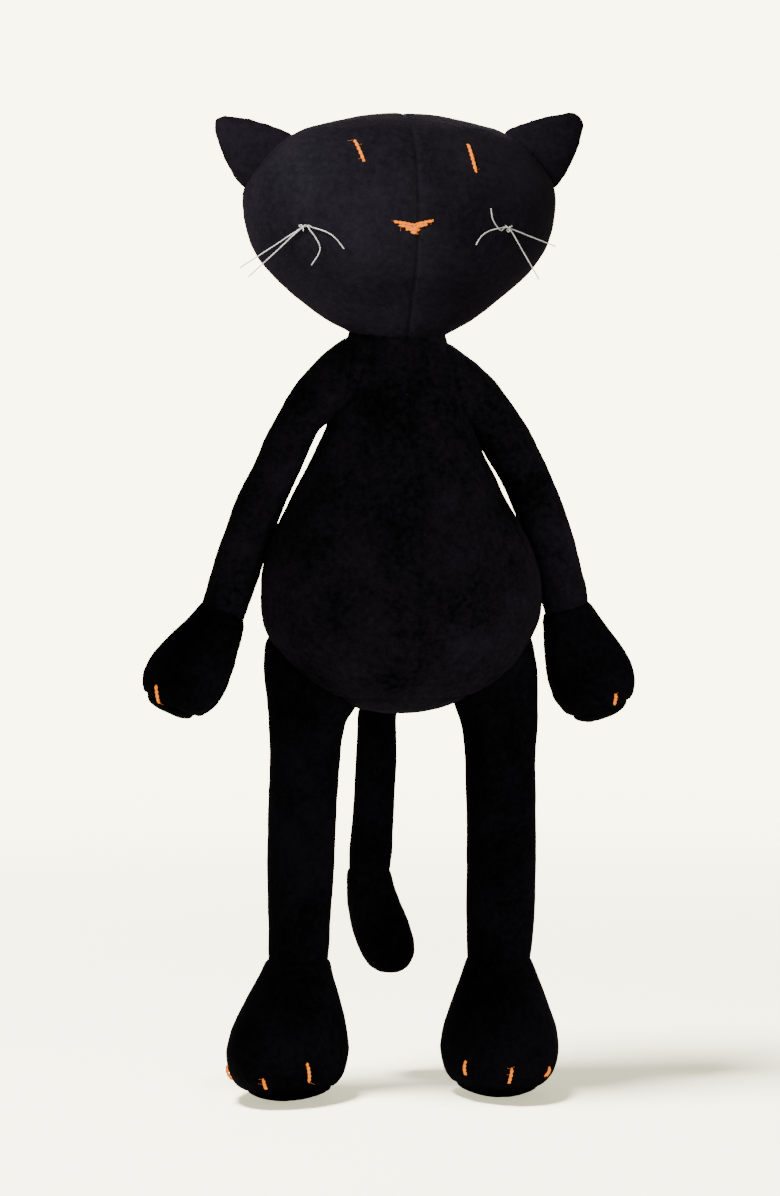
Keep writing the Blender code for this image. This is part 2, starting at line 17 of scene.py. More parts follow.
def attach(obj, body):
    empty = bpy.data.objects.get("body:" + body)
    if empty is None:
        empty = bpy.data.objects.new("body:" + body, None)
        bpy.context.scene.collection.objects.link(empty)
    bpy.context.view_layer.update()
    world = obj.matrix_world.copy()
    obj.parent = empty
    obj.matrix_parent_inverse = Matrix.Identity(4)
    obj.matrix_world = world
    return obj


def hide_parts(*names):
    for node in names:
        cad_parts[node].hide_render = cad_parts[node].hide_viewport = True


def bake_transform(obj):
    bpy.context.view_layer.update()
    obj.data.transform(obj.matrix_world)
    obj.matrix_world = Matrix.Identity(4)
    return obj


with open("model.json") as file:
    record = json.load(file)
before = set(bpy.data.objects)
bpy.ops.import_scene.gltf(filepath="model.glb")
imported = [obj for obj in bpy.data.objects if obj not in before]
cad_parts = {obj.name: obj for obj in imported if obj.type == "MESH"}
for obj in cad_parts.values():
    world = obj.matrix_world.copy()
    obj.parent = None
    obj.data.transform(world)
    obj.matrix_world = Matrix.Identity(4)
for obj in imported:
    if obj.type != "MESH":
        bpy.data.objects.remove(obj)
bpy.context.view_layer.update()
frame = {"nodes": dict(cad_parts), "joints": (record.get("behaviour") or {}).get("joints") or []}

TOY = Vector((0.0042, -0.0065, 0.0))  # where the toy's own middle stands in the frame
UP = Vector((0, 0, 1))
SIDES = {"left": -1, "right": 1}
joints = {joint["name"]: Vector(joint["pos_m"]) for joint in frame["joints"]}

# %% [markdown]
# ## The camera
# A long lens from two and a half metres keeps the legs as straight as a buyer sees them on a shelf.
# It stands a little to one side and a little above the belly, and looks at the toy's middle.

# %% Camera
def place_camera(aim, azimuth, elevation, distance, lens):
    """A camera that looks at aim from an angle round the toy and a height angle."""
    flat, rise = math.radians(azimuth), math.radians(elevation)
    back = Vector((math.sin(flat) * math.cos(rise), -math.cos(flat) * math.cos(rise), math.sin(rise)))
    data = bpy.data.cameras.new("camera")
    data.lens, data.sensor_width = lens, 36
    data.clip_start, data.clip_end = 0.05, 60
    camera = bpy.data.objects.new("camera", data)
    camera.location = aim + back * distance
    camera.rotation_euler = back.to_track_quat("Z", "Y").to_euler()
    bpy.context.scene.collection.objects.link(camera)
    bpy.context.scene.camera = camera
    return camera


camera = place_camera(Vector((-0.0020, -0.0054, 0.2535)), -8, 4, 2.5, 148.4)
print("the camera stands at", [round(n, 3) for n in camera.location])

# %% [markdown]
# ## Light and floor
# Black velour shows its shape only by the soft light that its pile gives back, so the lamps are broad
# and close: one for the head, a low one for the belly and limbs, and weaker ones in front, at the sides
# and behind. The floor is a pale disc that fades into an equally pale surround, so no edge or horizon crosses
# behind the toy. A high lamp for the floor alone gives the shadow at the feet.

# %% Lamps
def lamp(name, place, aim, size, watts, colour=(1, 1, 1)):
    data = bpy.data.lights.new(name, "AREA")
    data.shape, data.size, data.energy, data.color = "DISK", size, watts, colour
    light = bpy.data.objects.new(name, data)
    light.location = place
    light.rotation_euler = (Vector(place) - Vector(aim)).to_track_quat("Z", "Y").to_euler()
    bpy.context.scene.collection.objects.link(light)
    return light


face_lamp = lamp("face_lamp", (-0.41, -0.49, 0.74), (-0.02, 0, 0.43), 0.30, 9.2)
belly_lamp = lamp("belly_lamp", (0.46, -0.72, 0.42), (0.02, 0, 0.26), 0.35, 3.8)
lamp("front_lamp", (-0.15, -1.60, 0.60), (0, 0, 0.22), 1.2, 4.6)
lamp("left_lamp", (-1.30, 0.30, 0.90), (0, 0, 0.30), 0.9, 3.5)
lamp("right_lamp", (1.30, 0.60, 0.70), (0, 0, 0.30), 0.9, 2.6)
lamp("back_lamp", (0.30, 1.40, 0.80), (0, 0, 0.28), 0.8, 8)
floor_lamp = lamp("floor_lamp", (-0.62, -0.28, 2.20), (0.05, 0.05, 0), 0.6, 370)


# %% Surround and floor
PALE = (1.0, 0.965, 0.66, 1)


def link(tree, source, target):
    tree.links.new(source, target)


def pale_surround(seen, felt):
    """A plain pale surround: bright where it is seen, and dimmer where it lights the toy."""
    world = bpy.data.worlds.new("surround")
    world.use_nodes = True
    bpy.context.scene.world = world
    tree = world.node_tree
    back = tree.nodes["Background"]
    path = tree.nodes.new("ShaderNodeLightPath")
    level = tree.nodes.new("ShaderNodeMapRange")
    level.inputs["To Min"].default_value = felt
    level.inputs["To Max"].default_value = seen
    link(tree, path.outputs["Is Camera Ray"], level.inputs["Value"])
    link(tree, level.outputs["Result"], back.inputs["Strength"])
    back.inputs["Color"].default_value = PALE


def pale_floor(radius, glow):
    """A disc that takes soft shadows near the feet and fades out into the surround."""
    bpy.ops.object.select_all(action="DESELECT")
    bpy.ops.mesh.primitive_circle_add(vertices=96, radius=radius, fill_type="NGON", location=(0, 0, -0.0002))
    floor = bpy.context.object
    floor.name = "floor"
    finish = bpy.data.materials.new("pale_floor")
    finish.use_nodes = True
    tree = finish.node_tree
    tree.nodes.clear()
    output = tree.nodes.new("ShaderNodeOutputMaterial")
    fade, both, clear, matt, dim, seen, shine, path, gain, where, far, edge = (
        tree.nodes.new(kind) for kind in (
            "ShaderNodeMixShader", "ShaderNodeAddShader", "ShaderNodeBsdfTransparent", "ShaderNodeBsdfDiffuse",
            "ShaderNodeBsdfDiffuse", "ShaderNodeMixShader", "ShaderNodeEmission", "ShaderNodeLightPath",
            "ShaderNodeMath", "ShaderNodeTexCoord", "ShaderNodeVectorMath", "ShaderNodeMapRange"))
    matt.inputs["Color"].default_value = (0.82, 0.80, 0.60, 1)
    dim.inputs["Color"].default_value = (0.16, 0.15, 0.14, 1)
    shine.inputs["Color"].default_value = PALE
    gain.operation, gain.inputs[1].default_value = "MULTIPLY", glow
    far.operation, edge.interpolation_type = "LENGTH", "SMOOTHSTEP"
    edge.inputs["From Min"].default_value, edge.inputs["From Max"].default_value = 0.35, radius * 0.95
    edge.inputs["To Min"].default_value, edge.inputs["To Max"].default_value = 1, 0
    link(tree, path.outputs["Is Camera Ray"], gain.inputs[0])
    link(tree, gain.outputs[0], shine.inputs["Strength"])
    link(tree, matt.outputs[0], both.inputs[0])
    link(tree, shine.outputs[0], both.inputs[1])
    link(tree, where.outputs["Object"], far.inputs[0])
    link(tree, far.outputs["Value"], edge.inputs["Value"])
    link(tree, edge.outputs["Result"], fade.inputs["Fac"])
    link(tree, clear.outputs[0], fade.inputs[1])
    link(tree, path.outputs["Is Camera Ray"], seen.inputs["Fac"])
    link(tree, dim.outputs[0], seen.inputs[1])
    link(tree, both.outputs[0], seen.inputs[2])
    link(tree, seen.outputs[0], fade.inputs[2])
    link(tree, fade.outputs[0], output.inputs["Surface"])
    floor.data.materials.append(finish)
    return floor


def shine_only_on(light, things):
    """The light reaches only these things, and everything still throws its shadow."""
    lit = bpy.data.collections.new(light.name + "_reaches")
    for thing in things:
        lit.objects.link(thing)
    light.light_linking.receiver_collection = lit


pale_surround(8.4, 0.20)
shine_only_on(floor_lamp, [pale_floor(1.6, 0.8)])

# %% [markdown]
# ## The cloth
# Cotton velour is short dense pile. It is nearly black, but where the pile has been brushed different
# ways it shows lighter and darker drifts, it glows a little at grazing angles, and it holds a few specks
# of lint. Fur strands would be too long for it, so a fine grain in the bump stands for the pile, and
# noise at three sizes gives the drifts, the nap and the grain. The same cloth comes in copies with
# painted light and shade: the face is painted lightest, the ears and the body darker, and the legs,
# feet, hands and tail nearly plain black, a painted fall of light from the head down to the feet.

# %% Black velour
def shader_of(name, **sockets):
    """A new material with its Principled shader's own sockets set."""
    finish = bpy.data.materials.new(name)
    finish.use_nodes = True
    shader = finish.node_tree.nodes["Principled BSDF"]
    for socket, value in sockets.items():
        shader.inputs[socket.replace("_", " ")].default_value = value
    return finish, finish.node_tree, shader


def noise_of(tree, where, scale, detail=3, rough=0.55):
    made = tree.nodes.new("ShaderNodeTexNoise")
    made.inputs["Scale"].default_value = scale
    made.inputs["Detail"].default_value = detail
    made.inputs["Roughness"].default_value = rough
    link(tree, where, made.inputs["Vector"])
    return made.outputs["Fac"]


def ramp_of(tree, value, stops):
    made = tree.nodes.new("ShaderNodeValToRGB")
    while len(made.color_ramp.elements) < len(stops):
        made.color_ramp.elements.new(0.5)
    for element, (place, colour) in zip(made.color_ramp.elements, stops):
        element.position, element.color = place, (*colour, 1)
    link(tree, value, made.inputs["Fac"])
    return made.outputs["Color"]


def maths(tree, kind, a, b):
    made = tree.nodes.new("ShaderNodeMath")
    made.operation = kind
    for socket, value in zip(made.inputs, (a, b)):
        if isinstance(value, (int, float)):
            socket.default_value = value
        else:
            link(tree, value, socket)
    return made.outputs[0]


def mixed(tree, share, a, b):
    made = tree.nodes.new("ShaderNodeMix")
    made.data_type = "RGBA"
    for socket, value in ((made.inputs[0], share), (made.inputs[6], a), (made.inputs[7], b)):
        if isinstance(value, tuple):
            socket.default_value = (*value, 1)
        elif isinstance(value, float):
            socket.default_value = value
        else:
            link(tree, value, socket)
    return made.outputs[2]


def bumped(tree, shader, height, distance, strength=1.0, after=None):
    made = tree.nodes.new("ShaderNodeBump")
    made.inputs["Strength"].default_value = strength
    made.inputs["Distance"].default_value = distance
    link(tree, height, made.inputs["Height"])
    if after:
        link(tree, after, made.inputs["Normal"])
    link(tree, made.outputs["Normal"], shader.inputs["Normal"])
    return made.outputs["Normal"]


def black_velour(name, dark, light, gloss):
    """Short black pile: drifts where it is brushed, fine grain, a faint violet edge and a little lint."""
    finish, tree, shader = shader_of(
        name, Roughness=0.85, Specular_IOR_Level=gloss, Sheen_Weight=gloss * 0.35, Sheen_Roughness=0.42,
        Sheen_Tint=(0.86, 0.70, 1.0, 1))
    where = tree.nodes.new("ShaderNodeTexCoord").outputs["Object"]
    drift, nap = noise_of(tree, where, 24, 3, 0.55), noise_of(tree, where, 300, 5, 0.68)
    grain = noise_of(tree, where, 1500, 2, 0.7)
    cover = maths(tree, "ADD", maths(tree, "MULTIPLY", drift, 0.50), maths(tree, "MULTIPLY", nap, 0.50))
    pile = ramp_of(tree, cover, [(0.38, dark), (0.64, light)])
    pile = mixed(tree, maths(tree, "MULTIPLY", grain, 0.55), pile, dark)
    dust = tree.nodes.new("ShaderNodeTexVoronoi")
    dust.inputs["Scale"].default_value = 170
    link(tree, where, dust.inputs["Vector"])
    rare = maths(tree, "GREATER_THAN", noise_of(tree, where, 60, 1, 0.5), 0.66)
    speck = maths(tree, "MULTIPLY", maths(tree, "LESS_THAN", dust.outputs["Distance"], 0.045), rare)
    link(tree, mixed(tree, speck, pile, (0.035, 0.033, 0.034)), shader.inputs["Base Color"])
    rough = tree.nodes.new("ShaderNodeMapRange")
    rough.inputs["To Min"].default_value, rough.inputs["To Max"].default_value = 0.72, 0.96
    link(tree, nap, rough.inputs["Value"])
    link(tree, rough.outputs["Result"], shader.inputs["Roughness"])
    first = bumped(tree, shader, nap, 0.0012, 0.30)
    bumped(tree, shader, grain, 0.0004, 0.45, first)
    return finish


# The four copies are one cloth in painted light and shade: face and ears painted lighter and glossier, the body
# darker, and black_velour for the limbs darkest and least glossy.
face_velour = black_velour("face_velour", (0.0040, 0.0033, 0.0053), (0.0150, 0.0128, 0.0188), 0.045)
ear_velour = black_velour("ear_velour", (0.0032, 0.0026, 0.0042), (0.0118, 0.0098, 0.0146), 0.035)
body_velour = black_velour("body_velour", (0.0006, 0.0005, 0.0008), (0.0130, 0.0107, 0.0154), 0.024)
velour = black_velour("black_velour", (0.0004, 0.0003, 0.0005), (0.0060, 0.0049, 0.0076), 0.014)
print("velour nodes:", len(velour.node_tree.nodes))

# %% [markdown]
# ## Yarn, nylon, thread and filling
# The claws, eyes and nose are a soft orange knitting yarn. Its plies are modelled, so the material only
# needs the fibres' streaks and a colour that wanders a little; it also glows in that colour, a painted
# light that keeps it bright orange whatever the lamps give. The whiskers are a stiff clear-white
# filament, smooth enough to catch the lamps. The filling and the pellet bag stay inside the covers.

# %% Other finishes
def orange_yarn():
    finish, tree, shader = shader_of(
        "orange_yarn", Roughness=0.85, Specular_IOR_Level=0.25, Sheen_Weight=0.12, Sheen_Roughness=0.5,
        Sheen_Tint=(1.0, 0.55, 0.2, 1), Emission_Strength=1.3)
    where = tree.nodes.new("ShaderNodeTexCoord").outputs["Object"]
    streak, tone = noise_of(tree, where, 2400, 2, 0.7), noise_of(tree, where, 380, 3, 0.6)
    colour = ramp_of(tree, tone, [(0.32, (0.82, 0.17, 0.002)), (0.56, (1.0, 0.25, 0.003)), (0.75, (1.0, 0.33, 0.006))])
    colour = mixed(tree, maths(tree, "MULTIPLY", streak, 0.35), colour, (0.55, 0.07, 0.001))
    link(tree, mixed(tree, 0.6, colour, (0.20, 0.05, 0.0)), shader.inputs["Base Color"])
    # The yarn's colour also feeds its emission: a painted glow, though the yarn is no lamp.
    link(tree, colour, shader.inputs["Emission Color"])
    bumped(tree, shader, streak, 0.0003, 0.6)
    return finish


def white_nylon():
    finish, tree, shader = shader_of(
        "white_nylon", Roughness=0.22, Specular_IOR_Level=0.6, Coat_Weight=0.3, Coat_Roughness=0.15)
    where = tree.nodes.new("ShaderNodeTexCoord").outputs["Object"]
    tone = noise_of(tree, where, 300, 2, 0.5)
    strand = ramp_of(tree, tone, [(0.3, (0.52, 0.50, 0.46)), (0.7, (0.78, 0.78, 0.76))])
    link(tree, strand, shader.inputs["Base Color"])
    bumped(tree, shader, tone, 0.0002, 0.2)
    return finish


def white_fibre():
    finish, tree, shader = shader_of("white_fibre", Roughness=0.95, Sheen_Weight=0.3)
    where = tree.nodes.new("ShaderNodeTexCoord").outputs["Object"]
    tuft, hair = noise_of(tree, where, 90, 5, 0.65), noise_of(tree, where, 900, 3, 0.7)
    wadding = ramp_of(tree, tuft, [(0.3, (0.66, 0.65, 0.62)), (0.7, (0.86, 0.85, 0.83))])
    link(tree, wadding, shader.inputs["Base Color"])
    bumped(tree, shader, hair, 0.0006, 0.5, bumped(tree, shader, tuft, 0.003, 0.5))
    return finish


def woven(name, dark, light, threads):
    """A plain weave: two crossed sets of fine bands."""
    finish, tree, shader = shader_of(name, Roughness=0.9, Specular_IOR_Level=0.2)
    where = tree.nodes.new("ShaderNodeTexCoord").outputs["Object"]
    bands = []
    for direction in ("X", "Z"):
        wave = tree.nodes.new("ShaderNodeTexWave")
        wave.bands_direction = direction
        wave.inputs["Scale"].default_value = threads
        wave.inputs["Distortion"].default_value = 0.6
        link(tree, where, wave.inputs["Vector"])
        bands.append(wave.outputs["Fac"])
    weave = maths(tree, "MAXIMUM", *bands)
    link(tree, ramp_of(tree, weave, [(0.2, dark), (0.9, light)]), shader.inputs["Base Color"])
    bumped(tree, shader, weave, 0.0003, 0.6)
    return finish


yarn, nylon, fibre = orange_yarn(), white_nylon(), white_fibre()
calico = woven("calico", (0.52, 0.46, 0.36), (0.74, 0.69, 0.58), 420)
thread = woven("black_thread", (0.004, 0.004, 0.005), (0.020, 0.018, 0.022), 900)
print("finishes:", [finish.name for finish in bpy.data.materials])

# %% [markdown]
# ## How a stuffed cover is made
# A cover starts as rings, drawn where a tape round the toy would lie, and joined into a closed form. The
# form is remeshed evenly, drawn in a little, and blown up as cloth, with the stitched lines held so that
# the panels crown between them. It is then let out until half of it stands outside the first form, so
# the toy keeps its size. A seam is narrower than the remesh can hold, so it is pressed in after the last
# subdivision, with the small puckers that the thread pulls on both sides of it.

# %% Rings to a closed form
def tape(centre, wide, front, back=None, lean=0.0):
    """One ring: its middle, its half width, how far it reaches to the front and back, and its lean."""
    across = Vector((math.cos(lean), 0, math.sin(lean))) * wide
    return Vector(centre), across, Vector((0, -front, 0)), Vector((0, back or front, 0))


def closed_form(name, rings, sides=40, place=None):
    """The rings joined into one closed skin, in the frame's own place."""
    place = place or Matrix.Translation(TOY)
    points, faces = [], []
    for centre, across, front, back in rings:
        for step in range(sides):
            angle = 2 * math.pi * step / sides
            deep = back if math.sin(angle) > 0 else front
            points.append(place @ (centre + across * math.cos(angle) + deep * abs(math.sin(angle))))
    for level in range(len(rings) - 1):
        for step in range(sides):
            a, b = level * sides + step, level * sides + (step + 1) % sides
            faces.append((a, b, b + sides, a + sides))
    faces += [tuple(range(sides)), tuple(reversed(range(len(points) - sides, len(points))))]
    skin = bpy.data.meshes.new(name)
    skin.from_pydata(points, [], faces)
    cover = bpy.data.objects.new(name, skin)
    bpy.context.scene.collection.objects.link(cover)
    alone(cover)
    bpy.ops.object.mode_set(mode="EDIT")
    bpy.ops.mesh.select_all(action="SELECT")
    bpy.ops.mesh.normals_make_consistent(inside=False)
    bpy.ops.object.mode_set(mode="OBJECT")
    return cover


def alone(thing):
    """Only this object is selected, and it is the active one."""
    bpy.ops.object.select_all(action="DESELECT")
    thing.select_set(True)
    bpy.context.view_layer.objects.active = thing


def apply(thing, kind, **settings):
    """A modifier made, set and applied."""
    alone(thing)
    made = thing.modifiers.new(kind.lower(), kind)
    for setting, value in settings.items():
        setattr(made, setting, value)
    bpy.ops.object.modifier_apply(modifier=made.name)


# %% Blow a cover up as cloth
PRESSURE, MOMENTS = 4, 20
STITCH_REACH = 0.0022  # cloth this close to a stitched line is held by it
DRAWN_IN = 0.85  # the share of its swell by which a cover is drawn in first
LET_OUT = 0.0002  # how far the pile stands proud of the form
FIBRE_DEPTH = 0.0030  # how far the filling lies inside the cover
SEAM_REACH = 0.012  # a seam moves nothing further away than this
DIP_SHARE, DIP_WIDTH = 0.45, 0.0038


def blow_up(cover, held, swell):
    """The cover as cloth under pressure, with the held points pinned and no point moved past swell."""
    skin = cover.data
    start = [vert.co.copy() for vert in skin.vertices]
    pins = cover.vertex_groups.new(name="stitched")
    for index, place in enumerate(start):
        if held(place - TOY) < STITCH_REACH:
            pins.add([index], 1.0, "REPLACE")
    alone(cover)
    cloth = cover.modifiers.new("cloth", "CLOTH")
    settings = cloth.settings
    settings.vertex_group_mass = "stitched"
    settings.use_pressure, settings.uniform_pressure_force = True, PRESSURE
    settings.quality, settings.tension_stiffness, settings.compression_stiffness = 5, 20, 20
    settings.bending_stiffness = 1.0
    settings.effector_weights.gravity = 0
    cloth.point_cache.frame_end = MOMENTS
    for moment in range(1, MOMENTS + 1):
        bpy.context.scene.frame_set(moment)
    bpy.ops.object.modifier_apply(modifier=cloth.name)
    for vert, place in zip(cover.data.vertices, start):
        move = vert.co - place
        if move.length > swell:
            vert.co = place + move * (swell / move.length)
    bpy.context.scene.frame_set(1)


def surface_of(cover):
    """The cover's faces as they are now, for finding the nearest place on them or where a line meets them."""
    mesh = cover.data
    return BVHTree.FromPolygons([v.co for v in mesh.vertices], [tuple(p.vertices) for p in mesh.polygons])


def stuffed(cover, voxel, held, swell, lumps):
    """An even, swollen, slightly lumpy cover from a closed form, which keeps the form's own size."""
    form = surface_of(cover)
    apply(cover, "REMESH", mode="VOXEL", voxel_size=voxel, use_smooth_shade=True)
    for vert in cover.data.vertices:
        vert.co = form.find_nearest(vert.co)[0]
    apply(cover, "SMOOTH", factor=0.5, iterations=4)
    for vert, way in [(vert, vert.normal.copy()) for vert in cover.data.vertices]:
        vert.co -= way * (swell * DRAWN_IN)
    blow_up(cover, held, swell)
    apply(cover, "SMOOTH", factor=0.5, iterations=2)
    gaps = []
    for vert in cover.data.vertices:
        near, _, _, gap = form.find_nearest(vert.co)
        gaps.append(gap if (near - vert.co).dot(vert.normal) > 0 else -gap)
    short = sorted(gaps)[len(gaps) // 2] + LET_OUT
    for vert, way in [(vert, vert.normal.copy()) for vert in cover.data.vertices]:
        vert.co += way * short
    print(cover.name, "was let out by", round(short * 1000, 2), "mm")
    core = cover.copy()
    core.data = cover.data.copy()
    core.name = cover.name.replace("cover", "fibre")
    bpy.context.scene.collection.objects.link(core)
    for vert, way in [(vert, vert.normal.copy()) for vert in core.data.vertices]:
        vert.co -= way * FIBRE_DEPTH
    apply(cover, "SUBSURF", levels=2, render_levels=2)
    ways = [vert.normal.copy() for vert in cover.data.vertices]
    for vert, way in zip(cover.data.vertices, ways):
        place = vert.co - TOY
        lump = noise.noise(place * 55) + 0.5 * noise.noise(place * 130)
        vert.co += way * lump * lumps
    return core


def press_seam(cover, seam, depth=0.0010, width=0.0009, pucker=0.00012):
    """A stitched line pressed in: a narrow groove in a shallow dip, puckered along its length."""
    near = []
    for vert in cover.data.vertices:
        place = vert.co - TOY
        gap = seam(place)
        if gap < SEAM_REACH:
            near.append((vert, vert.normal.copy(), gap, place))
    for vert, way, gap, place in near:
        groove = depth * math.exp(-((gap / width) ** 2)) + DIP_SHARE * depth * math.exp(-((gap / DIP_WIDTH) ** 2))
        along = place.x * 900 + place.y * 1050 + place.z * 1150
        pull = pucker * math.sin(along + 2 * noise.noise(place * 120)) * math.exp(-((gap - 0.0025) / 0.0028) ** 2)
        vert.co += way * (pull - groove)


def nowhere(place):
    return 1.0


def finish_cover(cover, core, nodes, filling, blend=None, body=None, cloth=velour):
    """Dresses a cover and its filling, and hangs both on the same body; with a blend both are left where they stand,
    on no body.
    """
    for thing, finish, slot, stands_for in (
            (cover, cloth, "black_velour", nodes), (core, fibre, "white_fibre", filling)):
        thing.data.materials.clear()
        thing.data.materials.append(finish)
        thing.vertex_groups.clear()
        for face in thing.data.polygons:
            face.use_smooth = True
        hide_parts(*stands_for)
        if blend:
            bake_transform(thing)
        else:
            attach(thing, body)
    print(cover.name, len(cover.data.polygons), "faces over", core.name)


# %% [markdown]
# ## The head
# The head is a wide flattened egg: two front panels that meet in a seam down the face, and one back
# panel, joined at the side seam where the ears are caught. Its rings run from the neck to the crown.

# %% Head
HEAD = [  # height, half width
    (0.3835, 0.0185), (0.3877, 0.0250), (0.3937, 0.0365), (0.3998, 0.0450), (0.4059, 0.0525), (0.4120, 0.0598),
    (0.4181, 0.0662), (0.4242, 0.0710), (0.4302, 0.0745), (0.4363, 0.0768), (0.4424, 0.0786), (0.4485, 0.0794),
    (0.4546, 0.0798), (0.4607, 0.0792), (0.4663, 0.0763), (0.4735, 0.0714), (0.4794, 0.0664), (0.4850, 0.0594),
    (0.4901, 0.0492), (0.4922, 0.0412), (0.4943, 0.0330), (0.4962, 0.0245), (0.4976, 0.0150), (0.4982, 0.0080)]
HEAD_X = -0.0015


def face_seam(place):
    """Down the middle of the face, bowed a little, with the back left plain."""
    middle = HEAD_X + 0.0012 + 0.0016 * math.sin((place.z - 0.3845) * 26)
    return abs(place.x - middle) if place.y < 0.004 else 1.0


def side_seam(place):
    """Round the head's edge, where front and back panels join."""
    return abs(place.y - 0.002) if place.z > 0.386 else 1.0


def head_seams(place):
    return min(face_seam(place), side_seam(place))


def make_head():
    rings = []
    for z, wide in HEAD:
        chin = 0.0060 * max(0.0, 1 - abs(z - 0.3860) / 0.012)
        rings.append(tape((HEAD_X, 0, z), wide, 0.637 * wide + chin, 0.637 * wide))
    cover = closed_form("head_cover", rings, 56)
    core = stuffed(cover, 0.0036, head_seams, 0.0018, 0.0003)
    press_seam(cover, head_seams, 0.0008, 0.0006)
    low = joints["neck_turn"] + Vector((0, 0, -0.0005))
    finish_cover(cover, core, ["head_front_left", "head_front_right", "head_back"], ["head_stuffing"],
                 ("neck_thread", "head", low, low + UP * 0.016), cloth=face_velour)
    return cover


head_cover = make_head()

# %% [markdown]
# ## The torso
# A pear, widest low down, closed by a small base panel between the legs. The two front panels meet in
# the middle, the back panel wraps round the sides, and the top narrows to a neck that ends inside the
# head. All of it rides on the torso.

# %% Torso
TORSO = [  # height, half width, middle
    (0.3920, 0.0230, -0.0033), (0.3845, 0.0262, -0.0033), (0.3790, 0.0274, -0.0032), (0.3715, 0.0288, -0.0030),
    (0.3615, 0.0314, -0.0028), (0.3510, 0.0339, -0.0021), (0.3417, 0.0368, -0.0018), (0.3275, 0.0430, -0.0022),
    (0.3154, 0.0492, -0.0022), (0.3032, 0.0553, -0.0025), (0.2900, 0.0626, -0.0020), (0.2819, 0.0662, -0.0016),
    (0.2750, 0.0687, -0.0014), (0.2655, 0.0712, -0.0009), (0.2587, 0.0720, -0.0006), (0.2465, 0.0717, -0.0006),
    (0.2400, 0.0703, -0.0010), (0.2342, 0.0675, -0.0010), (0.2268, 0.0630, -0.0008), (0.2188, 0.0577, -0.0007),
    (0.2118, 0.0497, -0.0010), (0.2062, 0.0410, -0.0010), (0.2016, 0.0315, -0.0010), (0.1976, 0.0215, -0.0010),
    (0.1950, 0.0090, -0.0010)]
BASE_LEVEL = 0.2035


def belly_seam(place):
    """Down the middle of the chest and belly, with a slow bow to the toy's right."""
    chest = 0.0055 * math.exp(-((place.z - 0.300) / 0.05) ** 2)
    navel = 0.0030 * math.exp(-((place.z - 0.225) / 0.02) ** 2)
    middle = -0.0025 + chest + navel
    return abs(place.x - middle) if place.y < 0 and place.z > BASE_LEVEL else 1.0


def flank_seam(place):
    return abs(place.y - 0.004) if place.z > BASE_LEVEL else 1.0


def base_seam(place):
    return abs(place.z - BASE_LEVEL)


def torso_seams(place):
    return min(belly_seam(place), flank_seam(place), base_seam(place))


def make_torso():
    rings = [tape((middle, 0, z), wide, 0.745 * wide) for z, wide, middle in TORSO]
    cover = closed_form("torso_cover", rings, 56)
    core = stuffed(cover, 0.0043, torso_seams, 0.0018, 0.0004)
    press_seam(cover, torso_seams, 0.0009)
    finish_cover(cover, core, ["torso_front_left", "torso_front_right", "torso_back", "torso_base"],
                 ["torso_stuffing"], body="torso", cloth=body_velour)


make_torso()

# %% [markdown]
# ## The pellet bag
# A small calico bag of pellets sits in the seat, under the fibre. It is a low cushion with a gathered
# top, and it stays inside the base of the torso.

# %% Pellet bag
BAG = [(0.2030, 0.012), (0.2045, 0.022), (0.2085, 0.030), (0.2140, 0.036), (0.2200, 0.039), (0.2245, 0.036),
       (0.2268, 0.026), (0.2275, 0.012)]


def make_pellet_bag():
    bag = closed_form("pellet_bag_cloth", [tape((-0.001, 0, z), wide, 0.72 * wide) for z, wide in BAG], 32)
    apply(bag, "SUBSURF", levels=2, render_levels=2)
    for vert in bag.data.vertices:
        vert.co += vert.normal * 0.0007 * noise.noise((vert.co - TOY) * 220)
    bag.data.materials.append(calico)
    for face in bag.data.polygons:
        face.use_smooth = True
    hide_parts("pellet_bag")
    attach(bag, "torso")


make_pellet_bag()
